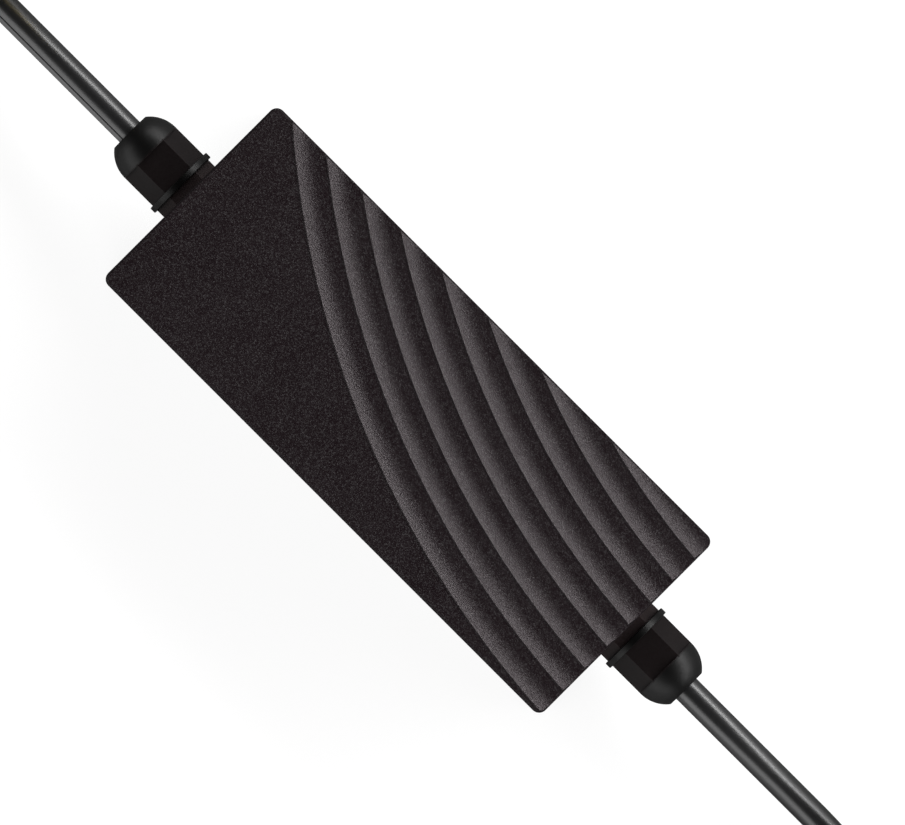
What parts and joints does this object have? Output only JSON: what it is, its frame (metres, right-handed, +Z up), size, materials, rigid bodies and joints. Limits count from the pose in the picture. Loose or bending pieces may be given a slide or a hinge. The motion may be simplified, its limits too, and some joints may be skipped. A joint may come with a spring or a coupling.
{
  "type": "inline power adapter",
  "caption": "Slim sealed in-line power adapter: a black case with a relief of curved bands on its top, a domed cable gland at each end, and a lead with its plug or connector at each end.",
  "frame": {"origin": "middle of the base plate underside, at the floor", "axes": "+X along the case towards the output lead, +Z up from the base, +Y across towards the common centre of the curved bands"},
  "size_m": [0.5588, 0.0657, 0.0364],
  "materials": {
    "housing_plastic": "fine grained matt black moulding",
    "gland_nylon": "smooth satin black nylon",
    "gland_rubber": "smooth black rubber",
    "seal_rubber": "plain dark grey rubber",
    "screw_steel": "plain bright steel",
    "board_green": "green lacquered laminate",
    "terminal_green": "moulded green plastic",
    "clip_metal": "tinned spring strip",
    "fuse_ceramic": "white ceramic tube with metal caps",
    "disc_blue": "dipped blue coating",
    "film_yellow": "moulded yellow box",
    "ferrite": "dark grey ferrite",
    "winding_copper": "enamelled copper wire",
    "winding_tape": "yellow insulating tape",
    "component_black": "moulded black case",
    "component_white": "moulded white case",
    "can_sleeve": "shrunk dark sleeve with a bare top",
    "heatsink_aluminium": "plain extruded metal",
    "wire_brown": "coloured wire insulation",
    "wire_red": "coloured wire insulation",
    "lead_jacket": "smooth satin black jacket",
    "tie_plastic": "dark woven tie strap",
    "plug_plastic": "satin black moulding",
    "contact_brass": "plain brass contact"
  },
  "bodies": {
    "root": {"top_cover": "housing_plastic", "base_plate": "housing_plastic", "cover_gasket": "gland_rubber", "cover_screws": "screw_steel", "input_gland_body": "gland_nylon", "input_gland_ring": "gland_rubber", "input_gland_seal": "seal_rubber", "input_dome_nut": "gland_nylon", "input_lock_nut": "gland_nylon", "output_gland_body": "gland_nylon", "output_gland_ring": "gland_rubber", "output_gland_seal": "seal_rubber", "output_dome_nut": "gland_nylon", "output_lock_nut": "gland_nylon", "circuit_board": "board_green", "board_screws": "screw_steel", "input_terminal": "terminal_green", "fuse_clips": "clip_metal", "fuse": "fuse_ceramic", "varistor": "disc_blue", "line_capacitor": "film_yellow", "line_choke_core": "ferrite", "line_choke_windings": "winding_copper", "bridge_rectifier": "component_black", "bulk_capacitor": "can_sleeve", "transformer_core": "ferrite", "transformer_winding": "winding_tape", "switching_transistor": "component_black", "primary_heatsink": "heatsink_aluminium", "controller_chip": "component_black", "optocoupler": "component_white", "safety_capacitor": "disc_blue", "output_diode": "component_black", "secondary_heatsink": "heatsink_aluminium", "output_capacitors": "can_sleeve", "output_choke": "ferrite", "output_terminal": "terminal_green", "input_wires": "wire_brown", "output_wires": "wire_red", "input_lead_run": "lead_jacket", "input_lead_hank": "lead_jacket", "input_lead_end": "lead_jacket", "input_tie": "tie_plastic", "mains_plug": "plug_plastic", "plug_blades": "contact_brass", "output_lead_run": "lead_jacket", "output_lead_hank": "lead_jacket", "output_lead_end": "lead_jacket", "output_tie": "tie_plastic", "connector_body": "plug_plastic", "connector_nut": "plug_plastic", "connector_pins": "contact_brass"}
  },
  "joints": []
}
